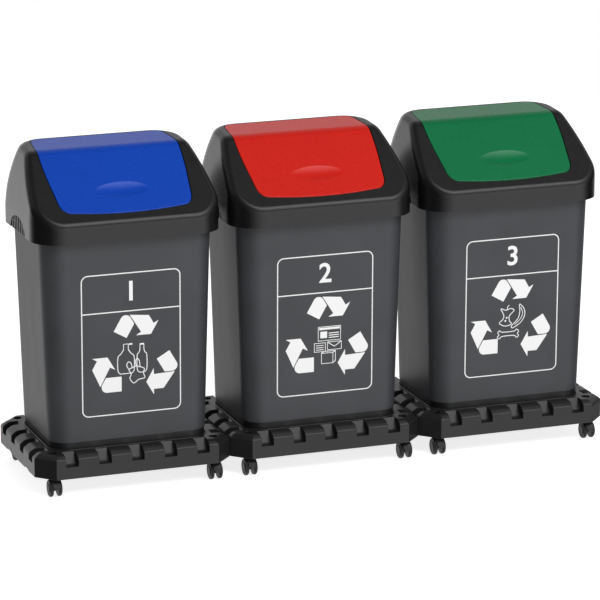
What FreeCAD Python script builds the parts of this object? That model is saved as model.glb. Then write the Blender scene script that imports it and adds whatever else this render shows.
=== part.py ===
import FreeCAD, Part
import math
import os

# Recycling station: three lidded bins, each standing in its own wheeled dolly, docked in a row.
# Millimetres. +Z is up, +X runs along the row and -Y is the front that the flaps face.
# The origin is on the floor under the middle of the row.
# One unit is modelled at the origin and copied along X.

# ---- the row ----
UNITS = (1, 2, 3)
dock_gap = 1.0               # air between the side walls of neighbouring dollies

# ---- clearances ----
running_clearance = 0.05     # radial, a shaft in its bore
fixed_clearance = 0.05       # a piece held in its socket
seat_gap = 0.3               # a piece that lifts off, above its seat

# ---- caster ----
wheel_diameter = 38.0
wheel_width = 7.5
wheel_edge_round = 2.4
hub_cap_height = 1.3
hub_cap_radius = 11.0
wheel_groove_radius = 15.0
wheel_groove_width = 2.2
wheel_groove_depth = 0.9
axle_radius = 3.0
axle_end_gap = 0.3
axle_cover = 1.0             # wheel material left over the end of the axle
fork_width = 10.5
fork_low_radius = 7.0
fork_side_gap = 0.6
fender_gap = 1.0
fender_wall = 2.0
fender_width = 18.0          # narrower than the pair of wheels, whose outer parts stay in view
fender_edge_round = 1.5
fender_edge_height = 5.0     # of its lower edge above the axle
caster_trail = 10.0
stem_radius = 4.0
stem_in_fork = 15.0
stem_in_socket = 31.0
stem_collar_radius = 6.0
stem_boss_radius = 8.0
stem_boss_rise = 0.5
swivel_gap = 0.3             # collar to the socket above it
collar_height = 1.2

# ---- caster socket, a lined bush in each dolly corner ----
socket_wall = 2.9
socket_flange_radius = 10.0
socket_flange_height = 1.5
socket_top_cover = 2.0
socket_end_gap = 2.0         # above the end of the stem

# ---- bin ----
bin_foot_half_x = 179.2
bin_foot_half_y = 131.5
bin_growth_x = 15.9          # how much wider each side is at the top
bin_growth_y = 5.8
bin_foot_corner = 44.0
bin_corner_growth = 4.0
bin_height = 507.7
bin_wall = 2.5
bin_base = 3.0
bin_base_round = 5.0
foot_band_height = 40.0
foot_band_inset = 1.2
lip_reach = 11.0
lip_wall = 2.5
lip_drop = 12.0

# ---- dolly ----
foot_clearance = 1.5         # bin foot to the wall of its recess
rim_width = 43.8
rim_outer_height = 42.0      # outer top edge, above the dolly's underside
rim_inner_height = 52.0      # level top of the rim
deck_height = 27.0           # top of the deck the bin stands on, above the underside
deck_thickness = 4.0
dolly_wall = 3.5
dolly_chamfer_x = 38.6
dolly_chamfer_y = 40.4
dolly_edge_round = 9.0
shoulder_width = 14.0        # from the outer walls to the rim's level top
shoulder_round = 20.0
recess_collar_wall = 2.5
recess_collar_height = 1.0
notch_width = 28.0
notch_pitch_front = 75.0
notch_pitch_side = 70.0
notch_count_front = 5
notch_count_side = 4
notch_floor_front = 26.5     # above the underside
notch_floor_side = 27.5
notch_flat = 14.0
notch_floor_round = 14.0
notch_depth = 37.0
core_wall = 3.0
core_roof = 4.0
core_inset = 6.0
core_depth = 28.0
caster_inset_x = 40.2
caster_inset_y = 35.8
caster_hole_radius = 10.0
caster_hole_depth = 9.0
boss_wall = 6.0
deck_rib_thickness = 3.0
deck_rib_height = 14.0
deck_rib_places_y = (-45.0, 45.0)

# ---- dock clip, a staple pressed over two touching side walls from below ----
clip_length = 26.0
clip_wall = 2.5
clip_leg = 16.0
clip_places_y = (-70.0, 70.0)
clip_end_gap = 1.0

# ---- hood ----
hood_wall = 3.0
hood_overhang = 18.5
hood_corner = 67.0
hood_drop = 17.5             # lower edge of the hood below the top of the bin
hood_band_height = 41.2      # where the sloping front starts, above the hood's lower edge
hood_crease_y = 20.0
hood_crease_height = 169.5
hood_back_y = 134.0
hood_back_height = 177.0
hood_back_bend_height = 40.0
hood_crease_round = 45.0
hood_back_round = 90.0
hood_edge_round = 18.0
hood_side_straight = 34.5    # height of the upright part of each side
hood_side_radius = 330.0
hood_side_turn = 34.0        # degrees that the bent part turns through, if the roof didn't end it
hood_seat_wall = 3.0
hood_spigot_wall = 2.0
hood_spigot_drop = 9.0
hood_spigot_gap = 1.0
grip_half_width = 56.0
grip_height = 35.5
grip_depth = 2.0
grip_rib_count = 7
grip_rib_width = 5.0
grip_rib_height = 1.4

# ---- flap ----
flap_front_y = -124.0
flap_front_bow = 14.0
flap_back_y = 116.0
flap_front_half = 147.0
flap_middle_half = 164.0
flap_middle_y = 8.0
flap_back_half = 150.0
flap_front_corner = 25.0
flap_back_corner = 20.0
flap_bow_radius = 1100.0
flap_side_radius = 500.0
flap_gap = 2.0
flap_wall = 3.0
flap_rim_depth = 8.0
flap_rim_wall = 3.0
flap_edge_round = 1.0
flap_ledge_reach = 12.0
flap_ledge_wall = 3.0
flap_ledge_half = 132.0

# ---- flap pivot ----
pivot_y = -20.0
pivot_depth = 12.0           # below the flap's outer face, measured upright
pin_radius = 4.0
pin_engagement = 7.0
ear_radius = 9.0
ear_wall = 5.0
pivot_boss_wall = 7.5
pivot_boss_radius = 8.5
pivot_boss_gap = 1.5         # from the widest place on the flap

# ---- push pad on the flap ----
pad_y = -81.0
pad_half_length = 60.5
pad_half_width = 22.0
pad_height = 9.0
pad_root = 1.5

# ---- worked out from the sizes above ----
wheel_radius = wheel_diameter / 2
wheel_inner_x = fork_width / 2 + fork_side_gap
wheel_outer_x = wheel_inner_x + wheel_width
fender_inner = wheel_radius + fender_gap
fender_outer = fender_inner + fender_wall
fork_top = wheel_radius + fender_outer + stem_boss_rise
dolly_bottom = fork_top + collar_height + swivel_gap
socket_outer = stem_radius + running_clearance + socket_wall
socket_seat = dolly_bottom + socket_flange_height
stem_top = dolly_bottom + stem_in_socket
socket_top = stem_top + socket_end_gap + socket_top_cover
deck_top = dolly_bottom + deck_height
deck_under = deck_top - deck_thickness
recess_half_x = bin_foot_half_x + foot_clearance
recess_half_y = bin_foot_half_y + foot_clearance
recess_corner = bin_foot_corner + foot_clearance
dolly_half_x = recess_half_x + rim_width
dolly_half_y = recess_half_y + rim_width
unit_pitch = 2 * dolly_half_x + dock_gap
caster_x = dolly_half_x - caster_inset_x
caster_y = dolly_half_y - caster_inset_y
rim_outer_top = dolly_bottom + rim_outer_height
rim_inner_top = dolly_bottom + rim_inner_height
bin_bottom = deck_top + seat_gap
bin_top = bin_bottom + bin_height
bin_top_half_x = bin_foot_half_x + bin_growth_x
bin_top_half_y = bin_foot_half_y + bin_growth_y
bin_top_corner = bin_foot_corner + bin_corner_growth
hood_half_x = bin_top_half_x + hood_overhang
hood_half_y = bin_top_half_y + hood_overhang
hood_bottom = bin_top - hood_drop
hood_slope = (hood_crease_height - hood_band_height) / (hood_crease_y + hood_half_y)
pivot_boss_inner = flap_middle_half + pivot_boss_gap
pivot_boss_outer = pivot_boss_inner + pivot_boss_wall
pivot_z = hood_bottom + hood_crease_height - (hood_crease_y - pivot_y) * hood_slope - pivot_depth

X_AXIS = FreeCAD.Vector(1, 0, 0)
Y_AXIS = FreeCAD.Vector(0, 1, 0)
Z_AXIS = FreeCAD.Vector(0, 0, 1)
FAR = 1000.0                 # longer than anything on the station, for cutting tools
ROOF_FACING = 0.75           # upward part of the normal of a roof face, a little below the slope's
MERGE = 1.0                  # how far a feature runs into the wall it grows from
LEVEL = 0.01                 # two heights or places this near count as one


def box(x_low, x_high, y_low, y_high, z_low, z_high):
    corner = FreeCAD.Vector(x_low, y_low, z_low)
    return Part.makeBox(x_high - x_low, y_high - y_low, z_high - z_low, corner)


def rod(radius, start, end, axis, across=(0.0, 0.0)):
    """Round bar along one axis; across holds its place on the other two axes, in X, Y, Z order."""
    if axis == X_AXIS:
        base = FreeCAD.Vector(start, across[0], across[1])
    elif axis == Y_AXIS:
        base = FreeCAD.Vector(across[0], start, across[1])
    else:
        base = FreeCAD.Vector(across[0], across[1], start)
    return Part.makeCylinder(radius, end - start, base, axis)


def plan(u, v):
    return FreeCAD.Vector(u, v, 0)


def side_view(u, v):
    return FreeCAD.Vector(0, u, v)


def front_view(u, v):
    return FreeCAD.Vector(u, 0, v)


def offset_outline(points, distance):
    """Move each side of an anticlockwise convex outline inwards (outwards if negative)."""
    count = len(points)
    lines = []
    for index in range(count):
        start = points[index]
        end = points[(index + 1) % count]
        length = math.hypot(end[0] - start[0], end[1] - start[1])
        normal = (-(end[1] - start[1]) / length, (end[0] - start[0]) / length)
        reach = normal[0] * start[0] + normal[1] * start[1] + distance
        lines.append((normal[0], normal[1], reach))
    moved = []
    for index in range(count):
        a1, b1, c1 = lines[index - 1]
        a2, b2, c2 = lines[index]
        determinant = a1 * b2 - a2 * b1
        moved.append(((c1 * b2 - c2 * b1) / determinant, (a1 * c2 - a2 * c1) / determinant))
    return moved


def rounded_face(points, radii, view):
    """Face of a closed outline whose corners are arcs of the given radii, 0 for a sharp corner."""
    count = len(points)
    joints = []
    for index in range(count):
        corner = view(*points[index])
        before = view(*points[index - 1]) - corner
        after = view(*points[(index + 1) % count]) - corner
        before.normalize()
        after.normalize()
        half_angle = before.getAngle(after) / 2
        radius = radii[index]
        reach = radius / math.tan(half_angle)
        middle = before + after
        middle.normalize()
        nearest = radius / math.sin(half_angle) - radius
        joints.append((corner + before * reach, corner + middle * nearest, corner + after * reach))
    edges = []
    for index in range(count):
        arc_start, arc_middle, arc_end = joints[index]
        if radii[index] > 0:
            edges.append(Part.Arc(arc_start, arc_middle, arc_end).toShape())
        next_start = joints[(index + 1) % count][0]
        edges.append(Part.makeLine(arc_end, next_start))
    return Part.Face(Part.Wire(edges))


def rectangle(half_x, half_y):
    return [(-half_x, -half_y), (half_x, -half_y), (half_x, half_y), (-half_x, half_y)]


def rounded_wire(half_x, half_y, radius, z):
    face = rounded_face(rectangle(half_x, half_y), [radius] * 4, plan)
    face.translate(Z_AXIS * z)
    return face.OuterWire


def rounded_prism(half_x, half_y, radius, z_low, z_high):
    face = Part.Face(rounded_wire(half_x, half_y, radius, z_low))
    return face.extrude(Z_AXIS * (z_high - z_low))


def octagon(half_x, half_y, chamfer_x, chamfer_y):
    return [
        (-half_x + chamfer_x, -half_y),
        (half_x - chamfer_x, -half_y),
        (half_x, -half_y + chamfer_y),
        (half_x, half_y - chamfer_y),
        (half_x - chamfer_x, half_y),
        (-half_x + chamfer_x, half_y),
        (-half_x, half_y - chamfer_y),
        (-half_x, -half_y + chamfer_y),
    ]


def polygon_wire(points, z):
    corners = [FreeCAD.Vector(x, y, z) for x, y in points]
    return Part.makePolygon(corners + corners[:1])


def spaced(count, pitch):
    """Places of a centred row of things."""
    return [(index - (count - 1) / 2) * pitch for index in range(count)]


def mirrored(shape, normal):
    return shape.mirror(FreeCAD.Vector(0, 0, 0), normal)


def both_sides(shape, normal):
    return [shape, mirrored(shape, normal)]


def level_edges(shape, z):
    """Edges that lie level at a height."""
    found = []
    for edge in shape.Edges:
        bounds = edge.BoundBox
        if abs(bounds.ZMin - z) < LEVEL and abs(bounds.ZMax - z) < LEVEL:
            found.append(edge)
    return found


# ---- dolly ----

def notch_tool(floor, half):
    """Scoop that opens through the outer wall at y = -half and climbs to the rim's top."""
    edge = -half
    points = [
        (edge - MERGE, floor),
        (edge + notch_flat, floor),
        (edge + notch_depth, rim_inner_top + MERGE),
        (edge - MERGE, rim_inner_top + MERGE),
    ]
    face = rounded_face(points, [0, notch_floor_round, 0, 0], side_view)
    face.translate(X_AXIS * (-notch_width / 2))
    return face.extrude(X_AXIS * notch_width)


def notch_tools():
    tools = []
    front = notch_tool(dolly_bottom + notch_floor_front, dolly_half_y)
    side = notch_tool(dolly_bottom + notch_floor_side, dolly_half_x)
    side.rotate(FreeCAD.Vector(0, 0, 0), Z_AXIS, 90)
    for place in spaced(notch_count_front, notch_pitch_front):
        tools += both_sides(front.translated(X_AXIS * place), Y_AXIS)
    for place in spaced(notch_count_side, notch_pitch_side):
        tools += both_sides(side.translated(Y_AXIS * place), X_AXIS)
    return tools


def core_tools():
    """Pockets under the blocks that stand between the notches."""
    tools = []
    top = rim_outer_top - core_roof
    front_half = (notch_pitch_front - notch_width) / 2 - core_wall
    side_half = (notch_pitch_side - notch_width) / 2 - core_wall
    front_edge = -dolly_half_y + core_inset
    side_edge = -dolly_half_x + core_inset
    front = box(-front_half, front_half, front_edge, front_edge + core_depth, dolly_bottom, top)
    side = box(side_edge, side_edge + core_depth, -side_half, side_half, dolly_bottom, top)
    for place in spaced(notch_count_front - 1, notch_pitch_front):
        tools += both_sides(front.translated(X_AXIS * place), Y_AXIS)
    for place in spaced(notch_count_side - 1, notch_pitch_side):
        tools += both_sides(side.translated(Y_AXIS * place), X_AXIS)
    return tools


def caster_places():
    return [(sx * caster_x, sy * caster_y) for sy in (-1, 1) for sx in (-1, 1)]


def clip_slot_tools():
    """Shallow steps in the foot of both side walls, where a dock clip lies flush."""
    tools = []
    half = clip_length / 2 + clip_end_gap
    top = dolly_bottom + clip_wall + fixed_clearance
    for place in clip_places_y:
        slot = box(dolly_half_x - dolly_wall - MERGE, dolly_half_x + MERGE, place - half, place + half,
                   dolly_bottom - MERGE, top)
        tools += both_sides(slot, X_AXIS)
    return tools


def dolly_block():
    outline = octagon(dolly_half_x, dolly_half_y, dolly_chamfer_x, dolly_chamfer_y)
    walls = Part.Face(polygon_wire(outline, dolly_bottom)).extrude(Z_AXIS * rim_outer_height)
    inner = offset_outline(outline, shoulder_width)
    rings = [polygon_wire(outline, rim_outer_top), polygon_wire(inner, rim_inner_top)]
    crown = Part.makeLoft(rings, True, True)
    block = walls.fuse(crown).removeSplitter()
    block = block.makeFillet(shoulder_round, level_edges(block, rim_inner_top))
    return block.makeFillet(dolly_edge_round, level_edges(block, rim_outer_top))


def dolly_cavity():
    """Hollow underside, up to the deck, with ribs and caster bosses left standing in it."""
    outline = octagon(dolly_half_x, dolly_half_y, dolly_chamfer_x, dolly_chamfer_y)
    inside = offset_outline(outline, dolly_wall)
    low = dolly_bottom - MERGE
    cavity = Part.Face(polygon_wire(inside, low)).extrude(Z_AXIS * (deck_under - low))
    keep = []
    for place in caster_places():
        keep.append(rod(socket_outer + boss_wall, socket_seat, deck_top, Z_AXIS, place))
    rib_low = deck_under - deck_rib_height
    half_rib = deck_rib_thickness / 2
    for place in deck_rib_places_y:
        keep.append(box(-dolly_half_x, dolly_half_x, place - half_rib, place + half_rib, rib_low, deck_top))
    return cavity.cut(keep)


def make_dolly():
    ring = recess_collar_wall
    collar = rounded_prism(recess_half_x + ring, recess_half_y + ring, recess_corner + ring,
                           deck_under, rim_inner_top + recess_collar_height)
    dolly = dolly_block().fuse(collar)
    cuts = [rounded_prism(recess_half_x, recess_half_y, recess_corner, deck_top, rim_inner_top + FAR)]
    cuts.append(dolly_cavity())
    cuts += notch_tools()
    cuts += core_tools()
    cuts += clip_slot_tools()
    dimple_floor = rim_inner_top - caster_hole_depth
    socket_hole_radius = socket_outer + fixed_clearance
    socket_hole_top = socket_top + fixed_clearance
    for place in caster_places():
        cuts.append(rod(caster_hole_radius, dimple_floor, rim_inner_top + FAR, Z_AXIS, place))
        cuts.append(rod(socket_hole_radius, dolly_bottom - MERGE, socket_hole_top, Z_AXIS, place))
    return dolly.cut(cuts).removeSplitter()


def make_sockets():
    """The four caster bushes of one dolly."""
    bore_radius = stem_radius + running_clearance
    bore_top = stem_top + socket_end_gap
    sockets = []
    for place in caster_places():
        flange = rod(socket_flange_radius, dolly_bottom, socket_seat, Z_AXIS, place)
        barrel = rod(socket_outer, dolly_bottom, socket_top, Z_AXIS, place)
        bore = rod(bore_radius, dolly_bottom - MERGE, bore_top, Z_AXIS, place)
        sockets.append(flange.fuse(barrel).cut(bore).removeSplitter())
    return Part.makeCompound(sockets)


def make_dock_clips():
    """Two staples over the walls on each side of a seam, modelled about the seam at x = 0."""
    inner = dock_gap / 2 + dolly_wall + fixed_clearance
    outer = inner + clip_wall
    top = dolly_bottom + clip_leg
    clips = []
    for place in clip_places_y:
        low = place - clip_length / 2
        high = place + clip_length / 2
        clip = box(-outer, outer, low, high, dolly_bottom, top)
        clips.append(clip.cut(box(-inner, inner, low, high, dolly_bottom + clip_wall, top)))
    return Part.makeCompound(clips)


# ---- caster, modelled about its stem at x = y = 0 with the axle behind it on the -Y side ----

def end_circles(disc):
    """The two round edges of a disc that lies across X."""
    return [edge for edge in disc.Edges if edge.BoundBox.XLength < LEVEL]


def make_fork():
    axle_place = (-caster_trail, wheel_radius)
    half = fork_width / 2
    web = rod(fender_outer, -half, half, X_AXIS, axle_place)
    web = web.common(box(-half, half, -FAR, FAR, wheel_radius, FAR))
    web = web.fuse(rod(fork_low_radius, -half, half, X_AXIS, axle_place))
    wide = fender_width / 2
    fender = rod(fender_outer, -wide, wide, X_AXIS, axle_place)
    fender = fender.makeFillet(fender_edge_round, end_circles(fender))
    fender = fender.cut(rod(fender_inner, -wide, wide, X_AXIS, axle_place))
    fender = fender.common(box(-wide, wide, -FAR, FAR, wheel_radius + fender_edge_height, FAR))
    boss = rod(stem_boss_radius, wheel_radius, fork_top, Z_AXIS)
    wheel_room = rod(fender_inner, half, FAR, X_AXIS, axle_place)
    boss = boss.cut(both_sides(wheel_room, X_AXIS))
    fork = web.fuse([fender, boss])
    stem_hole = rod(stem_radius + fixed_clearance, fork_top - stem_in_fork - fixed_clearance, FAR, Z_AXIS)
    axle_hole = rod(axle_radius + fixed_clearance, -FAR, FAR, X_AXIS, axle_place)
    return fork.cut([stem_hole, axle_hole]).removeSplitter()


def make_caster_steel():
    """Stem with its collar, and the axle."""
    stem = rod(stem_radius, fork_top - stem_in_fork, stem_top, Z_AXIS)
    collar = rod(stem_collar_radius, fork_top, fork_top + collar_height, Z_AXIS)
    stem = stem.fuse(collar).removeSplitter()
    half = wheel_outer_x - axle_cover - axle_end_gap
    axle = rod(axle_radius, -half, half, X_AXIS, (-caster_trail, wheel_radius))
    return Part.makeCompound([stem, axle])


def make_wheels():
    axle_place = (-caster_trail, wheel_radius)
    wheel = rod(wheel_radius, wheel_inner_x, wheel_outer_x, X_AXIS, axle_place)
    wheel = wheel.makeFillet(wheel_edge_round, end_circles(wheel))
    cap = Part.makeCone(hub_cap_radius, hub_cap_radius - hub_cap_height, hub_cap_height,
                        FreeCAD.Vector(wheel_outer_x, -caster_trail, wheel_radius), X_AXIS)
    groove = rod(wheel_groove_radius, wheel_outer_x - wheel_groove_depth, FAR, X_AXIS, axle_place)
    groove = groove.cut(rod(wheel_groove_radius - wheel_groove_width, 0, FAR, X_AXIS, axle_place))
    bore = rod(axle_radius + running_clearance, 0, wheel_outer_x - axle_cover, X_AXIS, axle_place)
    wheel = wheel.fuse(cap).cut([groove, bore]).removeSplitter()
    return Part.makeCompound(both_sides(wheel, X_AXIS))


# ---- bin ----

def bin_half(z, low, growth):
    """Half-width of the bin's outer wall at a height."""
    return low + growth * (z - bin_bottom) / bin_height


def bin_block(z_low, z_high, inset):
    wires = []
    for z in (z_low, z_high):
        half_x = bin_half(z, bin_foot_half_x, bin_growth_x) - inset
        half_y = bin_half(z, bin_foot_half_y, bin_growth_y) - inset
        corner = bin_half(z, bin_foot_corner, bin_corner_growth) - inset
        wires.append(rounded_wire(half_x, half_y, corner, z))
    return Part.makeLoft(wires, True, True)


def make_bin():
    band_top = bin_bottom + foot_band_height
    foot = bin_block(bin_bottom, band_top, foot_band_inset)
    foot = foot.makeFillet(bin_base_round, level_edges(foot, bin_bottom))
    shell = foot.fuse(bin_block(band_top, bin_top, 0))
    lip = rounded_prism(bin_top_half_x + lip_reach, bin_top_half_y + lip_reach, bin_top_corner + lip_reach,
                        bin_top - lip_drop, bin_top)
    under_reach = lip_reach - lip_wall
    lip_hollow = rounded_prism(bin_top_half_x + under_reach, bin_top_half_y + under_reach,
                               bin_top_corner + under_reach, bin_top - lip_drop - MERGE, bin_top - lip_wall)
    lip = lip.cut(lip_hollow).cut(bin_block(bin_bottom, bin_top + MERGE, bin_wall / 2))
    inner_foot = bin_block(bin_bottom + bin_base, band_top + bin_wall, foot_band_inset + bin_wall)
    inner = bin_block(band_top + bin_wall, bin_top + MERGE, bin_wall)
    return shell.cut([inner_foot, inner]).fuse(lip).removeSplitter()


# ---- hood ----

def roof_outline():
    """Side view of the hood, anticlockwise from the lower front corner."""
    return [
        (-hood_half_y, hood_bottom),
        (hood_half_y, hood_bottom),
        (hood_half_y, hood_bottom + hood_back_bend_height),
        (hood_back_y, hood_bottom + hood_back_height),
        (hood_crease_y, hood_bottom + hood_crease_height),
        (-hood_half_y, hood_bottom + hood_band_height),
    ]


def roof_slab(drop):
    """Everything under the roof surface lowered by drop, cut off at the hood's lower edge."""
    points = offset_outline(roof_outline(), drop)
    floor = hood_bottom - drop
    points[0] = (points[0][0], floor)
    points[1] = (points[1][0], floor)
    radii = [0, 0, hood_back_round - drop, 0, hood_crease_round - drop, 0]
    face = rounded_face(points, radii, side_view)
    face.translate(X_AXIS * -FAR)
    return face.extrude(X_AXIS * (2 * FAR))


def hood_sides(drop):
    """Front view of the hood's two side walls, upright and then bending inwards."""
    half = hood_half_x - drop
    radius = hood_side_radius - drop
    bend = hood_bottom + hood_side_straight
    lean = math.radians(hood_side_turn)
    centre = half - radius
    low = hood_bottom - drop

    def on_arc(angle):
        return front_view(centre + radius * math.cos(angle), bend + radius * math.sin(angle))

    def opposite(point):
        return front_view(-point.x, point.z)

    start = on_arc(0)
    middle = on_arc(lean / 2)
    end = on_arc(lean)
    foot = front_view(half, low)
    edges = [
        Part.makeLine(foot, start),
        Part.Arc(start, middle, end).toShape(),
        Part.makeLine(end, opposite(end)),
        Part.Arc(opposite(end), opposite(middle), opposite(start)).toShape(),
        Part.makeLine(opposite(start), opposite(foot)),
        Part.makeLine(opposite(foot), foot),
    ]
    face = Part.Face(Part.Wire(edges))
    face.translate(Y_AXIS * -FAR)
    return face.extrude(Y_AXIS * (2 * FAR))


def corner_edges(block, drop):
    """The upright edges at the four corners of the hood, as far up as the roof."""
    front = -hood_half_y + drop + MERGE
    back = hood_back_y - drop - MERGE
    found = []
    for edge in block.Edges:
        bounds = edge.BoundBox
        if bounds.ZLength > MERGE and (bounds.YMax < front or bounds.YMin > back):
            found.append(edge)
    return found


def roof_rim_edges(block):
    """The closed line round the roof, where it meets the walls."""
    roof = []
    for face in block.Faces:
        u_low, u_high, v_low, v_high = face.ParameterRange
        if face.normalAt((u_low + u_high) / 2, (v_low + v_high) / 2).z > ROOF_FACING:
            roof.append(face)
    rim = []
    for face in roof:
        for edge in face.Edges:
            uses = sum(1 for other in roof for candidate in other.Edges if candidate.isSame(edge))
            if uses == 1:
                rim.append(edge)
    return rim


def hood_block(drop):
    """Solid shape of the hood with every outer face moved inwards by drop."""
    block = roof_slab(drop).common(hood_sides(drop))
    block = block.makeFillet(hood_corner - drop, corner_edges(block, drop))
    return block.makeFillet(hood_edge_round - drop, roof_rim_edges(block))


def roof_height(y):
    """Height of the straight sloping part of the roof."""
    return hood_bottom + hood_crease_height - (hood_crease_y - y) * hood_slope


def top_height(y):
    """Height of the nearly level part of the roof, behind the crease."""
    rise = (hood_back_height - hood_crease_height) / (hood_back_y - hood_crease_y)
    return hood_bottom + hood_crease_height + (y - hood_crease_y) * rise


def flap_outline_face(grow):
    """Plan of the flap, grown outwards by a distance."""
    points = [
        (0, flap_front_y - flap_front_bow),
        (flap_front_half, flap_front_y),
        (flap_middle_half, flap_middle_y),
        (flap_back_half, flap_back_y),
        (-flap_back_half, flap_back_y),
        (-flap_middle_half, flap_middle_y),
        (-flap_front_half, flap_front_y),
    ]
    radii = [
        flap_bow_radius,
        flap_front_corner + grow,
        flap_side_radius + grow,
        flap_back_corner + grow,
        flap_back_corner + grow,
        flap_side_radius + grow,
        flap_front_corner + grow,
    ]
    return rounded_face(offset_outline(points, -grow), radii, plan)


def flap_prism(grow):
    face = flap_outline_face(grow)
    face.translate(Z_AXIS * (hood_bottom + hood_band_height / 2))
    return face.extrude(Z_AXIS * (hood_back_height + MERGE))


def hood_seat(inside):
    """Ledge that rests on the bin's lip, with a spigot that drops inside the bin."""
    low = bin_top + seat_gap
    spigot_x = bin_top_half_x - bin_wall - hood_spigot_gap
    spigot_y = bin_top_half_y - bin_wall - hood_spigot_gap
    spigot_corner = bin_top_corner - bin_wall - hood_spigot_gap
    wall = hood_spigot_wall
    ledge = rounded_prism(hood_half_x, hood_half_y, hood_corner, low, low + hood_seat_wall)
    ledge = ledge.common(inside)
    spigot = rounded_prism(spigot_x, spigot_y, spigot_corner, low - hood_spigot_drop, low + hood_seat_wall)
    mouth = rounded_prism(spigot_x - wall, spigot_y - wall, spigot_corner - wall, low - FAR, low + FAR)
    return ledge.fuse(spigot).cut(mouth)


def grip_face(grow):
    """Half ellipse in side view, standing on the hood's lower edge."""
    base = FreeCAD.Vector(0, 0, hood_bottom)
    long_radius = grip_half_width + grow
    short_radius = grip_height + grow
    ellipse = Part.Ellipse(base + Y_AXIS * long_radius, base + Z_AXIS * short_radius, base)
    return Part.Face(Part.Wire([ellipse.toShape()]))


def grips():
    """The recess in each side wall and the upright ribs that fill it, as (cuts, ribs)."""
    floor_x = hood_half_x - grip_depth
    recess = grip_face(0)
    recess.translate(X_AXIS * floor_x)
    recess = recess.extrude(X_AXIS * (grip_depth + MERGE))
    field = grip_face(-grip_rib_height)
    field.translate(X_AXIS * (floor_x - grip_depth / 2))
    field = field.extrude(X_AXIS * (grip_depth / 2 + grip_rib_height))
    field = field.common(box(0, FAR, -FAR, FAR, hood_bottom, FAR))
    pitch = 2 * grip_half_width / (grip_rib_count + 1)
    half = grip_rib_width / 2
    ribs = []
    for place in spaced(grip_rib_count, pitch):
        ribs += both_sides(field.common(box(0, FAR, place - half, place + half, 0, FAR)), X_AXIS)
    return both_sides(recess, X_AXIS), ribs


def pivot_bosses(inside):
    """Plates under the roof, one beside each end of the flap, bored for its pins."""
    boss = rod(pivot_boss_radius, pivot_boss_inner, pivot_boss_outer, X_AXIS, (pivot_y, pivot_z))
    web = box(pivot_boss_inner, pivot_boss_outer, pivot_y - pivot_boss_radius, pivot_y + pivot_boss_radius,
              pivot_z, pivot_z + FAR)
    boss = boss.fuse(web).common(inside)
    bore = rod(pin_radius + running_clearance, pivot_boss_inner - MERGE, pivot_boss_outer + MERGE, X_AXIS,
               (pivot_y, pivot_z))
    return both_sides(boss.cut(bore), X_AXIS)


def flap_ledge(inside):
    """Shelf under the flap's back edge, which holds it level with the roof."""
    drop = flap_wall + flap_rim_depth + seat_gap
    front = flap_back_y - flap_ledge_reach
    points = [
        (front, top_height(front) - drop - flap_ledge_wall),
        (hood_back_y, top_height(hood_back_y) - drop - flap_ledge_wall),
        (hood_back_y, top_height(hood_back_y) - drop),
        (front, top_height(front) - drop),
    ]
    face = rounded_face(points, [0] * len(points), side_view)
    face.translate(X_AXIS * -flap_ledge_half)
    return face.extrude(X_AXIS * (2 * flap_ledge_half)).common(inside)


def make_hood():
    shell = hood_block(0).cut(hood_block(hood_wall))
    inside = hood_block(hood_wall / 2)
    recesses, ribs = grips()
    shell = shell.cut(recesses + [flap_prism(flap_gap)])
    supports = pivot_bosses(inside) + [flap_ledge(inside), hood_seat(inside)]
    return shell.fuse(ribs + supports).removeSplitter()


# ---- flap ----

def push_pad():
    """Low barrel-shaped swelling for a hand, lying on the sloping part of the flap."""
    depth = (pad_half_width ** 2 - pad_height ** 2) / (2 * pad_height)
    crown = depth + pad_height
    ends = [FreeCAD.Vector(side * pad_half_length, 0, depth) for side in (-1, 1)]
    arc = Part.Arc(ends[0], FreeCAD.Vector(0, 0, crown), ends[1]).toShape()
    feet = [FreeCAD.Vector(side * pad_half_length, 0, 0) for side in (-1, 1)]
    outline = Part.Wire([Part.makeLine(feet[0], ends[0]), arc, Part.makeLine(ends[1], feet[1]),
                         Part.makeLine(feet[1], feet[0])])
    barrel = Part.Face(outline).revolve(FreeCAD.Vector(0, 0, 0), X_AXIS, 360)
    pad = barrel.common(box(-FAR, FAR, -FAR, FAR, depth - pad_root, FAR))
    pad.translate(Z_AXIS * -depth)
    pad.rotate(FreeCAD.Vector(0, 0, 0), X_AXIS, math.degrees(math.atan(hood_slope)))
    pad.translate(FreeCAD.Vector(0, pad_y, roof_height(pad_y)))
    return pad


def flap_ears():
    """Lug and stub pin at each end of the flap's pivot line."""
    ear = rod(ear_radius, 0, FAR, X_AXIS, (pivot_y, pivot_z))
    web = box(0, FAR, pivot_y - ear_radius, pivot_y + ear_radius, pivot_z, pivot_z + FAR)
    ear = ear.fuse(web).common(flap_prism(0).cut(flap_prism(-ear_wall)))
    ear = ear.common(roof_slab(flap_wall / 2)).common(box(0, FAR, -FAR, FAR, 0, FAR))
    root = ear.BoundBox.XMin + ear_wall / 2
    pin = rod(pin_radius, root, pivot_boss_inner + pin_engagement, X_AXIS, (pivot_y, pivot_z))
    return both_sides(ear.fuse(pin), X_AXIS)


def make_flap():
    panel = flap_prism(0).common(roof_slab(0))
    skin = panel.makeFillet(flap_edge_round, roof_rim_edges(panel)).cut(roof_slab(flap_wall))
    rim = flap_prism(0).cut(flap_prism(-flap_rim_wall)).common(roof_slab(flap_wall / 2))
    rim = rim.cut(roof_slab(flap_wall + flap_rim_depth))
    return skin.fuse([rim, push_pad()] + flap_ears()).removeSplitter()


# ---- the station ----

def save(node, shape):
    shape.exportStep("parts/" + node + ".step")


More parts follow.
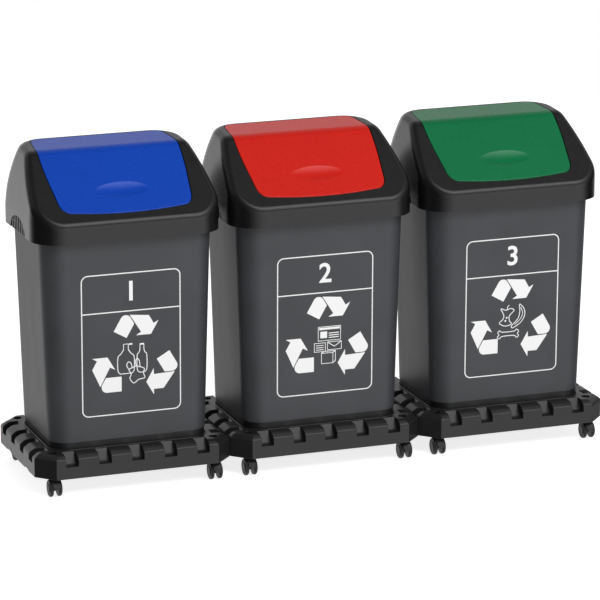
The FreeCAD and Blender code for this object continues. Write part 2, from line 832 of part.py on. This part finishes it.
def build_station():
    os.makedirs("parts", exist_ok=True)
    unit_pieces = {
        "dolly": make_dolly(),
        "caster_sockets": make_sockets(),
        "bin_body": make_bin(),
        "hood": make_hood(),
        "flap": make_flap(),
    }
    caster_pieces = {"fork": make_fork(), "stem_and_axle": make_caster_steel(), "wheels": make_wheels()}
    clips = make_dock_clips()
    for unit in UNITS:
        shift = (unit - (UNITS[0] + UNITS[-1]) / 2) * unit_pitch
        for name, shape in unit_pieces.items():
            save(name + "_" + str(unit), shape.translated(X_AXIS * shift))
        for corner, (x, y) in enumerate(caster_places(), 1):
            place = FreeCAD.Vector(shift + x, y, 0)
            for name, shape in caster_pieces.items():
                save("caster_" + str(unit) + str(corner) + "_" + name, shape.translated(place))
        if unit != UNITS[-1]:
            seam = shift + unit_pitch / 2
            save("dock_clips_" + str(unit) + str(unit + 1), clips.translated(X_AXIS * seam))


build_station()
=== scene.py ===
import math

import bmesh
import bpy
from mathutils import Matrix, Vector


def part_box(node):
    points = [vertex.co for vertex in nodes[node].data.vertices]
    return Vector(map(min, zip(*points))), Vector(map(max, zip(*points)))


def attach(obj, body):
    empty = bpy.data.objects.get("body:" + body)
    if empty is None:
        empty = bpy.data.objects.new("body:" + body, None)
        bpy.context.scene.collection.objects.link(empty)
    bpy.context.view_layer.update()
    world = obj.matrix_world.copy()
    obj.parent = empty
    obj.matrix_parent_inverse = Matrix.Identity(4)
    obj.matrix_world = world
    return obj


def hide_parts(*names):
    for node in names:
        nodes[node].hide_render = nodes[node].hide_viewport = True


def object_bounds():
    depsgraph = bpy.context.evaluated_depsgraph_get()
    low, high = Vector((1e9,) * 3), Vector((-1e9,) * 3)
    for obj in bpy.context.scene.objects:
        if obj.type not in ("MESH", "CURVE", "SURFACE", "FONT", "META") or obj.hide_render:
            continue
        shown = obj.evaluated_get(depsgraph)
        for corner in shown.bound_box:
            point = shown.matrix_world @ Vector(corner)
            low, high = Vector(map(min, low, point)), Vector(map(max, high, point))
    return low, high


# Finishes, printed labels, light and camera for the three-bin recycling station.
# Metres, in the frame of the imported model: +Z is up, the flaps face -Y, the floor is at z = 0.

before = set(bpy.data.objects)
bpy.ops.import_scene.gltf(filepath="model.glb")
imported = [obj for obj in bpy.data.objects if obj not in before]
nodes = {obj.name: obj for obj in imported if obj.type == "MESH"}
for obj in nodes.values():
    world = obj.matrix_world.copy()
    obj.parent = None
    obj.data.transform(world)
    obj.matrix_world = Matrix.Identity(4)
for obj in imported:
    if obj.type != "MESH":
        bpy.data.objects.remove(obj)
cad_low, cad_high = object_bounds()
scene = bpy.context.scene

UNITS = (1, 2, 3)
CORNERS = (1, 2, 3, 4)
MM = 0.001


# ---- camera ----

CAMERA_AZIMUTH = math.radians(-20.07)
CAMERA_ELEVATION = math.radians(14.98)
CAMERA_DISTANCE = 8.255
CAMERA_SENSOR = 36.0             # its width, and the lens's focal length, in millimetres
CAMERA_LENS = 220.3
CAMERA_ASIDE = -0.010            # of the aim from the middle of the row
CAMERA_AIM_HEIGHT = 0.347


def make_camera():
    data = bpy.data.cameras.new("camera")
    data.lens = CAMERA_LENS
    data.sensor_width = CAMERA_SENSOR
    camera = bpy.data.objects.new("camera", data)
    scene.collection.objects.link(camera)
    level = math.cos(CAMERA_ELEVATION)
    back = Vector((math.sin(CAMERA_AZIMUTH) * level, -math.cos(CAMERA_AZIMUTH) * level,
                   math.sin(CAMERA_ELEVATION)))
    middle = (cad_low + cad_high) / 2
    aim = Vector((middle.x + CAMERA_ASIDE, middle.y, CAMERA_AIM_HEIGHT))
    camera.location = aim + back * CAMERA_DISTANCE
    camera.rotation_euler = (math.pi / 2 - CAMERA_ELEVATION, 0, CAMERA_AZIMUTH)
    scene.camera = camera


# ---- node graphs ----

NOISE_MOST = (0.3, 0.7)          # most values of a noise lie between these
BEVEL_SAMPLES = 6
EDGE_STARTS = 0.995              # cosine between the true and the softened normal
EDGE_FULL = 0.90


class Graph:
    """The nodes of one material or world, with short calls for the ones that the finishes use."""

    def __init__(self, tree):
        self.tree = tree
        self.place = self.add("ShaderNodeTexCoord").outputs["Object"]

    def add(self, kind, inputs=None, **settings):
        node = self.tree.nodes.new(kind)
        for name, value in settings.items():
            setattr(node, name, value)
        for name, value in (inputs or {}).items():
            if isinstance(value, bpy.types.NodeSocket):
                self.tree.links.new(value, node.inputs[name])
            else:
                node.inputs[name].default_value = value
        return node

    def noise(self, scale, detail=3.0, stretch=(1, 1, 1)):
        """Noise with about scale lumps to the metre, drawn out along an axis where stretch is small."""
        place = self.place
        if stretch != (1, 1, 1):
            place = self.add("ShaderNodeMapping", {"Vector": place, "Scale": stretch}).outputs[0]
        inputs = {"Vector": place, "Scale": scale, "Detail": detail}
        return self.add("ShaderNodeTexNoise", inputs).outputs[0]

    def ramp(self, value, from_low, from_high, to_low=0.0, to_high=1.0):
        inputs = {"Value": value, "From Min": from_low, "From Max": from_high,
                  "To Min": to_low, "To Max": to_high}
        return self.add("ShaderNodeMapRange", inputs).outputs[0]

    def math(self, operation, first, second):
        return self.add("ShaderNodeMath", {0: first, 1: second}, operation=operation).outputs[0]

    def mix(self, share, first, second):
        node = self.add("ShaderNodeMix", {0: share}, data_type="RGBA")
        for index, value in ((6, first), (7, second)):
            if isinstance(value, bpy.types.NodeSocket):
                self.tree.links.new(value, node.inputs[index])
            else:
                node.inputs[index].default_value = (*value, 1)
        return node.outputs[2]

    def soft_normal(self, radius):
        return self.add("ShaderNodeBevel", {"Radius": radius}, samples=BEVEL_SAMPLES).outputs[0]

    def edges(self, radius):
        """1 along sharp outer edges and creases, 0 on open faces."""
        true_normal = self.add("ShaderNodeNewGeometry").outputs["Normal"]
        pair = {0: true_normal, 1: self.soft_normal(radius)}
        alike = self.add("ShaderNodeVectorMath", pair, operation="DOT_PRODUCT").outputs["Value"]
        return self.ramp(alike, EDGE_STARTS, EDGE_FULL)

    def bump(self, height, depth, normal=None, strength=1.0):
        inputs = {"Height": height, "Distance": depth, "Strength": strength}
        if normal is not None:
            inputs["Normal"] = normal
        return self.add("ShaderNodeBump", inputs).outputs[0]


def new_material(name):
    material = bpy.data.materials.new(name)
    material.use_nodes = True
    return material, Graph(material.node_tree), material.node_tree.nodes["Principled BSDF"]


def scaled(colour, factor):
    return tuple(min(1.0, channel * factor) for channel in colour)


def finish_surface(graph, surface, colour, roughness, normal, specular):
    for socket, value in (("Base Color", colour), ("Roughness", roughness), ("Normal", normal)):
        graph.tree.links.new(value, surface.inputs[socket])
    surface.inputs["Specular IOR Level"].default_value = specular


# ---- finishes: scales are lumps to the metre, lengths are metres ----

CLOUD_SCALE = 9
STREAK_SCALE = 60
STREAK_STRETCH = (1, 1, 0.08)
STREAK_ROUGHNESS = 0.015         # by which the roughness differs from streak to streak
RUB_SCALE = 45
RUB_AND_HIGHLIGHT_SHARES = (0.35, 0.65)        # of the noise that breaks up the lightened edges, from plain to full
RUB_POLISH = 0.08                # by which a rubbed edge is less rough
GRAIN_SCALE = 1100
SHADE_BLUR = 0.0006


def moulded(name, colour, roughness, specular=0.5, mottle=0.10, wear_and_highlight=1.6, grain=0.00004,
            edge_radius=0.0012, rub_and_highlight_width=0.0019, band=None):
    """Moulded plastic: faint clouds in the colour, fine grain, soft corners, and edges lightened partly as
    rub wear and partly as a painted highlight.

    band is (height, colour) of painted shade: a darker stretch below that height.
    """
    material, graph, surface = new_material(name)
    clouds = graph.noise(CLOUD_SCALE, detail=5.0)
    streaks = graph.noise(STREAK_SCALE, detail=3.0, stretch=STREAK_STRETCH)
    cloud_share = graph.ramp(clouds, *NOISE_MOST)
    base = graph.mix(cloud_share, scaled(colour, 1 - mottle), scaled(colour, 1 + mottle))
    # Painted shade: the colour darkens below the band's height, standing in for the shade at the bin's
    # foot.
    if band is not None:
        shade_top, shade_colour = band
        height = graph.add("ShaderNodeSeparateXYZ", {"Vector": graph.place}).outputs["Z"]
        shaded = graph.ramp(height, shade_top + SHADE_BLUR, shade_top - SHADE_BLUR)
        base = graph.mix(shaded, base, shade_colour)
    # Painted highlight and wear: sharp edges are lightened by the wear factor, part rubbed plastic, part
    # the light line that a rounded edge catches.
    rub_and_highlight_patches = graph.ramp(graph.noise(RUB_SCALE), *RUB_AND_HIGHLIGHT_SHARES)
    rubbed_and_highlit = graph.math("MULTIPLY", graph.edges(rub_and_highlight_width), rub_and_highlight_patches)
    base = graph.mix(rubbed_and_highlit, base, scaled(colour, wear_and_highlight))
    least = roughness - STREAK_ROUGHNESS
    most = roughness + STREAK_ROUGHNESS
    streaked = graph.ramp(streaks, *NOISE_MOST, least, most)
    sheen = graph.math("SUBTRACT", streaked, graph.math("MULTIPLY", rubbed_and_highlit, RUB_POLISH))
    fine = graph.noise(GRAIN_SCALE, detail=2.0)
    normal = graph.bump(fine, grain, graph.soft_normal(edge_radius))
    finish_surface(graph, surface, base, sheen, normal, specular)
    return material


def brushed_steel():
    material, graph, surface = new_material("plated_steel")
    cloudy = graph.ramp(graph.noise(scale=120), *NOISE_MOST)
    tone = graph.mix(cloudy, (0.46, 0.46, 0.45), (0.60, 0.60, 0.59))
    lines = graph.noise(scale=900, detail=2.0, stretch=(1, 1, 0.05))
    roughness = graph.ramp(lines, *NOISE_MOST, to_low=0.24, to_high=0.38)
    normal = graph.bump(lines, depth=0.00002, normal=graph.soft_normal(radius=0.0004))
    finish_surface(graph, surface, tone, roughness, normal, specular=0.5)
    surface.inputs["Metallic"].default_value = 1.0
    return material


def printed_ink():
    """White screen print: a little thin in places, with the plastic's grain under it."""
    material, graph, surface = new_material("white_print")
    thin = graph.ramp(graph.noise(scale=240, detail=4.0), from_low=0.62, from_high=0.80)
    colour = graph.mix(thin, (0.97, 0.97, 0.97), (0.84, 0.84, 0.84))
    roughness = graph.ramp(graph.noise(scale=80), *NOISE_MOST, to_low=0.45, to_high=0.58)
    normal = graph.bump(graph.noise(scale=900, detail=2.0), depth=0.00003)
    finish_surface(graph, surface, colour, roughness, normal, specular=0.4)
    return material


# Painted shade at the foot of the bin body: its lowest stretch is coloured darker.
FOOT_SHADE_HEIGHT = 0.0400
BLACK = (0.0088, 0.0088, 0.0090)
BIN_GREY = (0.050, 0.052, 0.058)
PAINTED_FOOT_SHADE = (0.010, 0.010, 0.011)

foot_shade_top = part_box("bin_body_1")[0][2] + FOOT_SHADE_HEIGHT

# The wear factor lightens edges: rub wear and a painted highlight along them.
finishes = {
    "hood": moulded("hood_black", BLACK, 0.26, specular=0.60, wear_and_highlight=2.2),
    "bin_body": moulded("bin_grey", BIN_GREY, 0.44, band=(foot_shade_top, PAINTED_FOOT_SHADE)),
    "dolly": moulded("dolly_black", (0.016, 0.016, 0.017), 0.33, wear_and_highlight=2.4, edge_radius=0.0018),
    "caster_sockets": moulded("socket_dark", (0.030, 0.030, 0.030), 0.45),
    "dock_clips": moulded("clip_black", (0.014, 0.014, 0.014), 0.40, wear_and_highlight=2.0),
    "fork": moulded("caster_dark", (0.022, 0.022, 0.023), 0.42, wear_and_highlight=2.0, edge_radius=0.0008),
    "wheels": moulded("wheel_black", (0.013, 0.013, 0.014), 0.46, wear_and_highlight=2.0, edge_radius=0.0006),
    "stem_and_axle": brushed_steel(),
}
FLAP_ROUGHNESS = 0.28
FLAP_COLOURS = {1: (0.001, 0.060, 0.49), 2: (0.665, 0.014, 0.007), 3: (0.001, 0.165, 0.055)}
FLAP_SLOTS = {1: "flap_blue", 2: "flap_red", 3: "flap_green"}

flap_finishes = {}
# The flaps' lightened edges paint the light line that catches on their rounded lower edge.
for unit in UNITS:
    flap_finishes[unit] = moulded(FLAP_SLOTS[unit], FLAP_COLOURS[unit], FLAP_ROUGHNESS, mottle=0.03,
                                  wear_and_highlight=1.7, grain=0.000002, edge_radius=0.0006)


def dress(node, material):
    """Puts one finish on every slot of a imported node."""
    piece = nodes[node]
    if not piece.data.materials:
        piece.data.materials.append(material)
    for slot in piece.material_slots:
        slot.material = material


PAD_DEPTH_SHARE = 0.28           # depth of the hand dish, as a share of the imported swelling's height
PAD_STARTS = 0.01 * MM           # above the slope
SLOPE_SHARES = (0.07, 0.37)      # of the flap's depth from its front edge, on the slope round the pad
SMOOTH_BELOW = math.radians(25)


def slope_plane(node):
    """A point of the flap's outer sloping face and its outward normal."""
    low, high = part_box(node)
    middle = (low[0] + high[0]) / 2
    down = Vector((0, 0, -1))
    hits = []
    for share in SLOPE_SHARES:
        above = Vector((middle, low[1] + share * (high[1] - low[1]), high[2] + 1))
        hits.append(nodes[node].ray_cast(above, down)[1])
    normal = Vector((1, 0, 0)).cross(hits[1] - hits[0]).normalized()
    return hits[0], normal


def make_flap(unit, material):
    """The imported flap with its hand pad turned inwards, as a shallow dish."""
    node = "flap_" + str(unit)
    mesh = nodes[node].data.copy()
    mesh.name = node + "_dished"
    foot, normal = slope_plane(node)
    for vertex in mesh.vertices:
        proud = (vertex.co - foot).dot(normal)
        if proud > PAD_STARTS:
            vertex.co -= normal * (proud * (1 + PAD_DEPTH_SHARE))
    packed_normals = mesh.attributes.get("custom_normal")
    if packed_normals is not None:
        mesh.attributes.remove(packed_normals)
    mesh.shade_smooth()
    mesh.set_sharp_from_angle(angle=SMOOTH_BELOW)
    mesh.materials.clear()
    mesh.materials.append(material)
    flap = bpy.data.objects.new(mesh.name, mesh)
    scene.collection.objects.link(flap)
    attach(flap, node)
    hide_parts(node)


def dress_station():
    for unit in UNITS:
        for name in ("hood", "bin_body", "dolly", "caster_sockets"):
            dress(name + "_" + str(unit), finishes[name])
        make_flap(unit, flap_finishes[unit])
        for corner in CORNERS:
            for name in ("fork", "wheels", "stem_and_axle"):
                dress("caster_" + str(unit) + str(corner) + "_" + name, finishes[name])
    for seam in ("12", "23"):
        dress("dock_clips_" + seam, finishes["dock_clips"])


# ---- printed labels, drawn in millimetres about the middle of each bin's front ----

PRINT_THICKNESS = 0.2            # half of it sinks into the wall
PRINT_PROUD = 0.03
FRAME_HALF_WIDTH = 112.0
FRAME_LOW = 165.5                # heights above the floor
FRAME_HIGH = 483.0
FRAME_CORNER = 14.0
FRAME_LINE = 2.6
DIVIDER_HEIGHT = 397.5
NUMBER_HEIGHT = 440.0
NUMBER_SIZE = 62.0
SYMBOL_HEIGHT = 290.0
SYMBOL_ASIDE = {1: 8.0, 2: 5.0, 3: -2.0}
DRAWING_LINE = 2.0
NUMBER_BOLDNESS = 1 / 60         # of the number's size, added all round its strokes

BAND_INNER = 39.7                # of the triangle of arrows, from its centre
BAND_OUTER = 73.3


def turned(points, angle):
    cosine = math.cos(angle)
    sine = math.sin(angle)
    return [(x * cosine - y * sine, x * sine + y * cosine) for x, y in points]


def moved(points, x, y):
    return [(a + x, b + y) for a, b in points]


def arc(x, y, radius, start, end, steps=12):
    """Points of an arc, its angles in degrees."""
    points = []
    for step in range(steps + 1):
        angle = math.radians(start + (end - start) * step / steps)
        points.append((x + radius * math.cos(angle), y + radius * math.sin(angle)))
    return points


def rounded_rectangle(left, right, low, high, radius):
    return (arc(right - radius, low + radius, radius, -90, 0)
            + arc(right - radius, high - radius, radius, 0, 90)
            + arc(left + radius, high - radius, radius, 90, 180)
            + arc(left + radius, low + radius, radius, 180, 270))


def smooth(points, closed=False, steps=6):
    """Points along a curve that passes through the given ones."""
    count = len(points)
    spans = count if closed else count - 1
    found = []
    for index in range(spans):
        if closed:
            around = [points[(index + offset) % count] for offset in (-1, 0, 1, 2)]
        else:
            around = [points[min(max(index + offset, 0), count - 1)] for offset in (-1, 0, 1, 2)]
        for step in range(steps):
            t = step / steps
            weights = (-t + 2 * t * t - t ** 3, 2 - 5 * t * t + 3 * t ** 3,
                       t + 4 * t * t - 3 * t ** 3, -t * t + t ** 3)
            found.append(tuple(sum(w * p[axis] for w, p in zip(weights, around)) / 2 for axis in (0, 1)))
    if not closed:
        found.append(points[-1])
    return found


class Print:
    """The ink of one label, gathered into one mesh."""

    def __init__(self):
        self.mesh = bmesh.new()

    def take(self, curve, flatten=1.0):
        draft = bpy.data.objects.new("draft", curve)
        mesh = bpy.data.meshes.new_from_object(draft)
        mesh.transform(Matrix.Diagonal((1, 1, flatten, 1)))
        self.mesh.from_mesh(mesh)
        bpy.data.objects.remove(draft)
        bpy.data.meshes.remove(mesh)
        bpy.data.curves.remove(curve)

    def spline(self, curve, points, closed):
        spline = curve.splines.new("POLY")
        spline.points.add(len(points) - 1)
        for point, (x, y) in zip(spline.points, points):
            point.co = (x, y, 0, 1)
        spline.use_cyclic_u = closed

    def solid(self, *outlines):
        """Filled shape; an outline inside another one is a hole."""
        curve = bpy.data.curves.new("draft", "CURVE")
        curve.dimensions = "2D"
        curve.fill_mode = "BOTH"
        curve.extrude = PRINT_THICKNESS / 2
        for outline in outlines:
            self.spline(curve, outline, True)
        self.take(curve)

    def line(self, points, width=DRAWING_LINE, closed=False):
        curve = bpy.data.curves.new("draft", "CURVE")
        curve.dimensions = "3D"
        curve.bevel_depth = width / 2
        curve.bevel_resolution = 3
        curve.use_fill_caps = True
        self.spline(curve, points, closed)
        self.take(curve, PRINT_THICKNESS / width)

    def number(self, value, size, x, y):
        curve = bpy.data.curves.new("draft", "FONT")
        curve.body = str(value)
        curve.size = size
        curve.align_x = "CENTER"
        curve.align_y = "CENTER"
        curve.extrude = PRINT_THICKNESS / 2
        curve.offset = size * NUMBER_BOLDNESS
        curve.offset_x = x
        curve.offset_y = y
        self.take(curve)


def arrow_shapes():
    """Tail and head of the arrow at the lower left of the triangle, about its centre."""
    band = BAND_OUTER - BAND_INNER
    fold = math.radians(60)
    tail_end = -31.0
    fold_top = -66.6
    corner_x = fold_top - band / math.tan(fold)
    rounding = 12.7
    reach = rounding / math.tan(fold / 2)
    along = (corner_x + reach * math.cos(fold), -BAND_OUTER + reach * math.sin(fold))
    round_corner = arc(corner_x + reach, -BAND_OUTER + rounding, rounding, 150, 270)
    tail = [(tail_end, -BAND_OUTER), (tail_end, -BAND_INNER), (fold_top, -BAND_INNER), along] + round_corner
    head = [(-79.5, -59.0), (-97.6, -19.0), (-86.6, 0.1), (-97.3, 6.6), (-62.5, 6.6),
            (-45.4, -23.0), (-57.3, -16.6)]
    return tail, head


def draw_arrows(ink, aside):
    for turn in (0, 120, 240):
        for shape in arrow_shapes():
            ink.solid(moved(turned(shape, math.radians(turn)), aside, SYMBOL_HEIGHT))


def bottle(left, right, low, high, neck_half, neck_low, shoulder):
    """Outline of a bottle, its neck in the middle."""
    middle = (left + right) / 2
    half = (right - left) / 2
    side = [(neck_half, high), (neck_half, neck_low), (half * 0.62, (neck_low + shoulder) / 2),
            (half, shoulder), (half, low + 8), (half - 6, low)]
    left_side = [(-x, y) for x, y in reversed(side)]
    return moved(side[:1] + smooth(side[1:]) + smooth(left_side[:-1]) + left_side[-1:], middle, 0)


def draw_containers(ink, x, y):
    """Two bottles and a carrier bag."""
    ink.line(moved(bottle(-39, -2, -34, 33, 5.5, 20, 3), x, y), closed=True)
    ink.line(moved(bottle(5, 27, -34, 31, 4.5, 18, 5), x, y), closed=True)
    bag = [(-14, -26), (-6, -22), (2, -19), (10, -21), (21, -26), (19, -36), (22, -47), (8, -50),
           (-3, -57), (-12, -46), (-9, -36)]
    ink.solid(moved(rounded_rectangle(-13.5, -5.5, 30.5, 34, 1), x, y))
    ink.solid(moved(rounded_rectangle(12, 20, 28.5, 32, 1), x, y))
    ink.line(moved(smooth(bag, closed=True), x, y), closed=True)
    ink.line(moved(smooth([(-13, -27), (-19, -16), (-15, -8), (-9, -12), (-7, -22)]), x, y))
    ink.line(moved(smooth([(3, -19), (1, -8), (5, -2), (10, -8), (11, -21)]), x, y))


def draw_papers(ink, x, y):
    """A page with a picture, a written sheet, an envelope and a carton, with no lettering."""
    y += 0.5
    page = [(-21, -4), (32, -4), (32, 28), (-21, 28)]
    ink.line(moved(page, x, y), closed=True)
    ink.solid(moved([(-19, 21), (30, 21), (30, 26), (-19, 26)], x, y))
    for row in range(3):
        level = 2.5 + 5 * row
        ink.line(moved([(4, level), (28, level)], x, y), width=2.2)
    ink.solid(moved([(-16, 2), (0, 2), (0, 17), (-16, 17)], x, y))
    sheet = [(-30, -29), (-4, -29), (-4, -9), (-30, -9)]
    ink.line(moved(sheet, x, y), closed=True)
    for row in range(3):
        level = -24.5 + 5 * row
        ink.line(moved([(-26, level), (-8, level)], x, y), width=1.8)
    ink.line(moved([(1, -26), (34, -26), (34, -8), (1, -8)], x, y), closed=True)
    ink.line(moved([(1, -8), (17.5, -19), (34, -8)], x, y))
    ink.line(moved([(-13, -57), (14, -57), (14, -33), (-13, -33)], x, y), closed=True)
    ink.line(moved([(-13, -33), (-7, -29), (20, -29), (20, -52), (14, -57)], x, y))
    ink.line(moved([(14, -33), (20, -29)], x, y))


def draw_food(ink, x, y):
    """An apple core, a banana and a bone."""
    core = [(-24, 30), (-12, 26), (0, 29), (8, 24), (0, 16), (-4, 10), (-3, 0), (2, -7), (-8, -11),
            (-18, -10), (-28, -3), (-20, 4), (-17, 12), (-20, 21)]
    ink.line(moved(smooth(core, closed=True), x, y), closed=True)
    ink.line(moved(smooth([(-9, 26), (-8, 33), (-4, 37)]), x, y))
    ink.solid(moved(arc(-10, 8, 2.2, 0, 330), x, y))
    ink.solid(moved(arc(-13, 1, 2.2, 0, 330), x, y))
    banana = [(21, 36), (25, 35), (33, 24), (34, 10), (26, -4), (14, -13), (4, -17), (2, -12), (11, -4),
              (19, 6), (22, 20)]
    ink.line(moved(smooth(banana, closed=True), x, y), closed=True)
    ink.line(moved(smooth([(24, 30), (29, 16), (24, 3), (10, -10)]), x, y), width=1.6)
    bone = [(-20, -27), (-27, -23), (-31, -28), (-28, -33), (-32, -38), (-27, -42), (-20, -37), (8, -37),
            (15, -42), (20, -38), (17, -33), (20, -28), (15, -23), (8, -27)]
    ink.line(moved(smooth(bone, closed=True), x, y + 2), closed=True)


DRAWINGS = {1: draw_containers, 2: draw_papers, 3: draw_food}


def front_face(unit):
    """Matrix that lays a drawing in millimetres, x across and y up from the floor, on a bin's front."""
    node = nodes["bin_body_" + str(unit)]
    low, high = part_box("bin_body_" + str(unit))
    middle = (low[0] + high[0]) / 2
    hits = []
    for height in (FRAME_LOW * MM, FRAME_HIGH * MM):
        found, place, _, _ = node.ray_cast(Vector((middle, low[1] - 1, height)), Vector((0, 1, 0)))
        if not found:
            raise RuntimeError("no front wall found on bin " + str(unit))
        hits.append(place)
    up = (hits[1] - hits[0]).normalized()
    across = Vector((1, 0, 0))
    outward = across.cross(up)
    foot = hits[0] - up * (hits[0].z / up.z)
    turn = Matrix((across, up, outward)).transposed().to_4x4()
    shift = Matrix.Translation(foot + outward * (PRINT_PROUD * MM))
    return shift @ turn @ Matrix.Scale(MM, 4)


def make_label(unit, material):
    ink = Print()
    aside = SYMBOL_ASIDE[unit]
    outline = rounded_rectangle(-FRAME_HALF_WIDTH, FRAME_HALF_WIDTH, FRAME_LOW, FRAME_HIGH, FRAME_CORNER)
    ink.line(outline, FRAME_LINE, closed=True)
    ink.line([(-FRAME_HALF_WIDTH, DIVIDER_HEIGHT), (FRAME_HALF_WIDTH, DIVIDER_HEIGHT)], FRAME_LINE)
    ink.number(unit, NUMBER_SIZE, 0, NUMBER_HEIGHT)
    draw_arrows(ink, aside)
    DRAWINGS[unit](ink, aside, SYMBOL_HEIGHT)
    mesh = bpy.data.meshes.new("label_" + str(unit))
    ink.mesh.to_mesh(mesh)
    ink.mesh.free()
    mesh.transform(front_face(unit))
    mesh.materials.clear()
    mesh.materials.append(material)
    label = bpy.data.objects.new("label_" + str(unit), mesh)
    scene.collection.objects.link(label)
    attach(label, "bin_" + str(unit))


# ---- floor, world and lights ----

FLOOR_RADIUS = 4.0
FLOOR_SEGMENTS = 96
FLOOR_GLOW = 0.78


def make_floor():
    mesh = bmesh.new()
    bmesh.ops.create_circle(mesh, cap_ends=True, segments=FLOOR_SEGMENTS, radius=FLOOR_RADIUS)
    data = bpy.data.meshes.new("floor")
    mesh.to_mesh(data)
    mesh.free()
    floor = bpy.data.objects.new("floor", data)
    scene.collection.objects.link(floor)
    material, graph, surface = new_material("pale_floor")
    tone = graph.mix(graph.noise(scale=1.5), (0.90, 0.90, 0.90), (0.94, 0.94, 0.94))
    roughness = graph.ramp(graph.noise(scale=4), *NOISE_MOST, to_low=0.75, to_high=0.85)
    normal = graph.bump(graph.noise(scale=300), depth=0.0001)
    finish_surface(graph, surface, tone, roughness, normal, specular=0.2)
    surface.inputs["Emission Color"].default_value = (1, 1, 1, 1)
    surface.inputs["Emission Strength"].default_value = FLOOR_GLOW
    data.materials.append(material)
    floor.visible_glossy = False
    floor.visible_diffuse = False


# Every direction below is given by its X, Y or Z as a unit vector, so by a sine from -1 to 1.
AROUND_LEVEL = 0.80              # light on the station from the floor and the sides
AROUND_ABOVE = 0.15              # and from straight above
# Brightness that the plastics mirror, as pairs of a direction's Z and its level.
MIRRORED = ((-0.25, 1.0), (0.02, 1.15), (0.14, 1.05), (0.27, 1.05), (0.36, 0.60), (0.60, 0.52),
            (0.80, 0.26), (0.93, 0.10))
MIRRORED_PEAK = 1.25
# A softbox in front and above, which only shows where the plastic turns towards it.
SOFTBOX_DIRECTION = (0.30, -0.42, 0.86)
SOFTBOX_EDGES = (0.920, 0.988)   # cosines to its middle, from its edge to its full level
SOFTBOX_LEVEL = 2.3
# Towards the sides the mirrored light fades, between these X of the direction.
FADE_LEFT_IN_FRONT = (-0.68, 0.20)
FADE_LEFT_BEHIND = (-0.80, -0.45)
FADE_RIGHT = (0.70, 0.95)
DIM_BEHIND = (-0.05, 0.35)       # and behind it dims between these, to the next value
DIM_BEHIND_LEVEL = 0.62
FRONT_TO_BACK = (-0.1, 0.1)      # Y of the direction, from in front of the row to behind it


def mirrored_by_height(graph, height):
    """The mirrored brightness along a smooth curve through the pairs of MIRRORED."""
    curve = graph.add("ShaderNodeFloatCurve", {"Value": graph.ramp(height, -1.0, 1.0)})
    line = curve.mapping.curves[0]
    ends = ((-1.0, MIRRORED[0][1]), (1.0, MIRRORED[-1][1]))
    for point, (z, level) in zip(line.points, ends):
        point.location = ((z + 1) / 2, level / MIRRORED_PEAK)
    for z, level in MIRRORED:
        line.points.new((z + 1) / 2, level / MIRRORED_PEAK)
    curve.mapping.update()
    return graph.math("MULTIPLY", curve.outputs[0], MIRRORED_PEAK)


def share_by_side(graph, across, along):
    """The share of the mirrored light that is left towards the sides, from a direction's X and Y."""
    behind = graph.ramp(along, *FRONT_TO_BACK)
    in_front = graph.math("SUBTRACT", 1.0, behind)
    left_in_front = graph.math("MULTIPLY", graph.ramp(across, *FADE_LEFT_IN_FRONT), in_front)
    left_behind = graph.math("MULTIPLY", graph.ramp(across, *FADE_LEFT_BEHIND), behind)
    dimmed = graph.ramp(across, *DIM_BEHIND, 1.0, DIM_BEHIND_LEVEL)
    left_behind = graph.math("MULTIPLY", left_behind, dimmed)
    left = graph.math("ADD", left_in_front, left_behind)
    return graph.math("MULTIPLY", left, graph.ramp(across, *FADE_RIGHT, 1.0, 0.0))


def make_world():
    """White behind everything; the station is lit softly all round and mirrors a studio with dark sides."""
    world = bpy.data.worlds.new("studio")
    world.use_nodes = True
    scene.world = world
    graph = Graph(world.node_tree)
    direction = graph.add("ShaderNodeTexCoord").outputs["Generated"]
    parts = graph.add("ShaderNodeSeparateXYZ", {"Vector": direction}).outputs
    heights = mirrored_by_height(graph, parts["Z"])
    sides = share_by_side(graph, parts["X"], parts["Y"])
    towards = {0: direction, 1: SOFTBOX_DIRECTION}
    facing = graph.add("ShaderNodeVectorMath", towards, operation="DOT_PRODUCT").outputs["Value"]
    softbox = graph.ramp(facing, *SOFTBOX_EDGES, 0.0, SOFTBOX_LEVEL)
    mirrored = graph.math("ADD", graph.math("MULTIPLY", heights, sides), softbox)
    around = graph.ramp(parts["Z"], 0.0, 1.0, AROUND_LEVEL, AROUND_ABOVE)
    paths = graph.add("ShaderNodeLightPath").outputs
    light = graph.mix(paths["Is Glossy Ray"], around, mirrored)
    colour = graph.mix(paths["Is Camera Ray"], light, (1.0, 1.0, 1.0))
    background = world.node_tree.nodes["Background"]
    world.node_tree.links.new(colour, background.inputs["Color"])


KEY_PLACE = (1.0, -3.4, 3.9)
KEY_SIZE = 2.2
KEY_POWER = 120


def area_light(name, place, size, power):
    data = bpy.data.lights.new(name, "AREA")
    data.shape = "SQUARE"
    data.size = size
    data.energy = power
    light = bpy.data.objects.new(name, data)
    light.visible_glossy = False
    light.location = place
    aim = (cad_low + cad_high) / 2
    light.rotation_euler = (aim - Vector(place)).to_track_quat("-Z", "Y").to_euler()
    scene.collection.objects.link(light)


make_camera()
make_floor()
make_world()
area_light("key", KEY_PLACE, KEY_SIZE, KEY_POWER)
scene.view_settings.view_transform = "Standard"
dress_station()
print_material = printed_ink()
for unit in UNITS:
    make_label(unit, print_material)
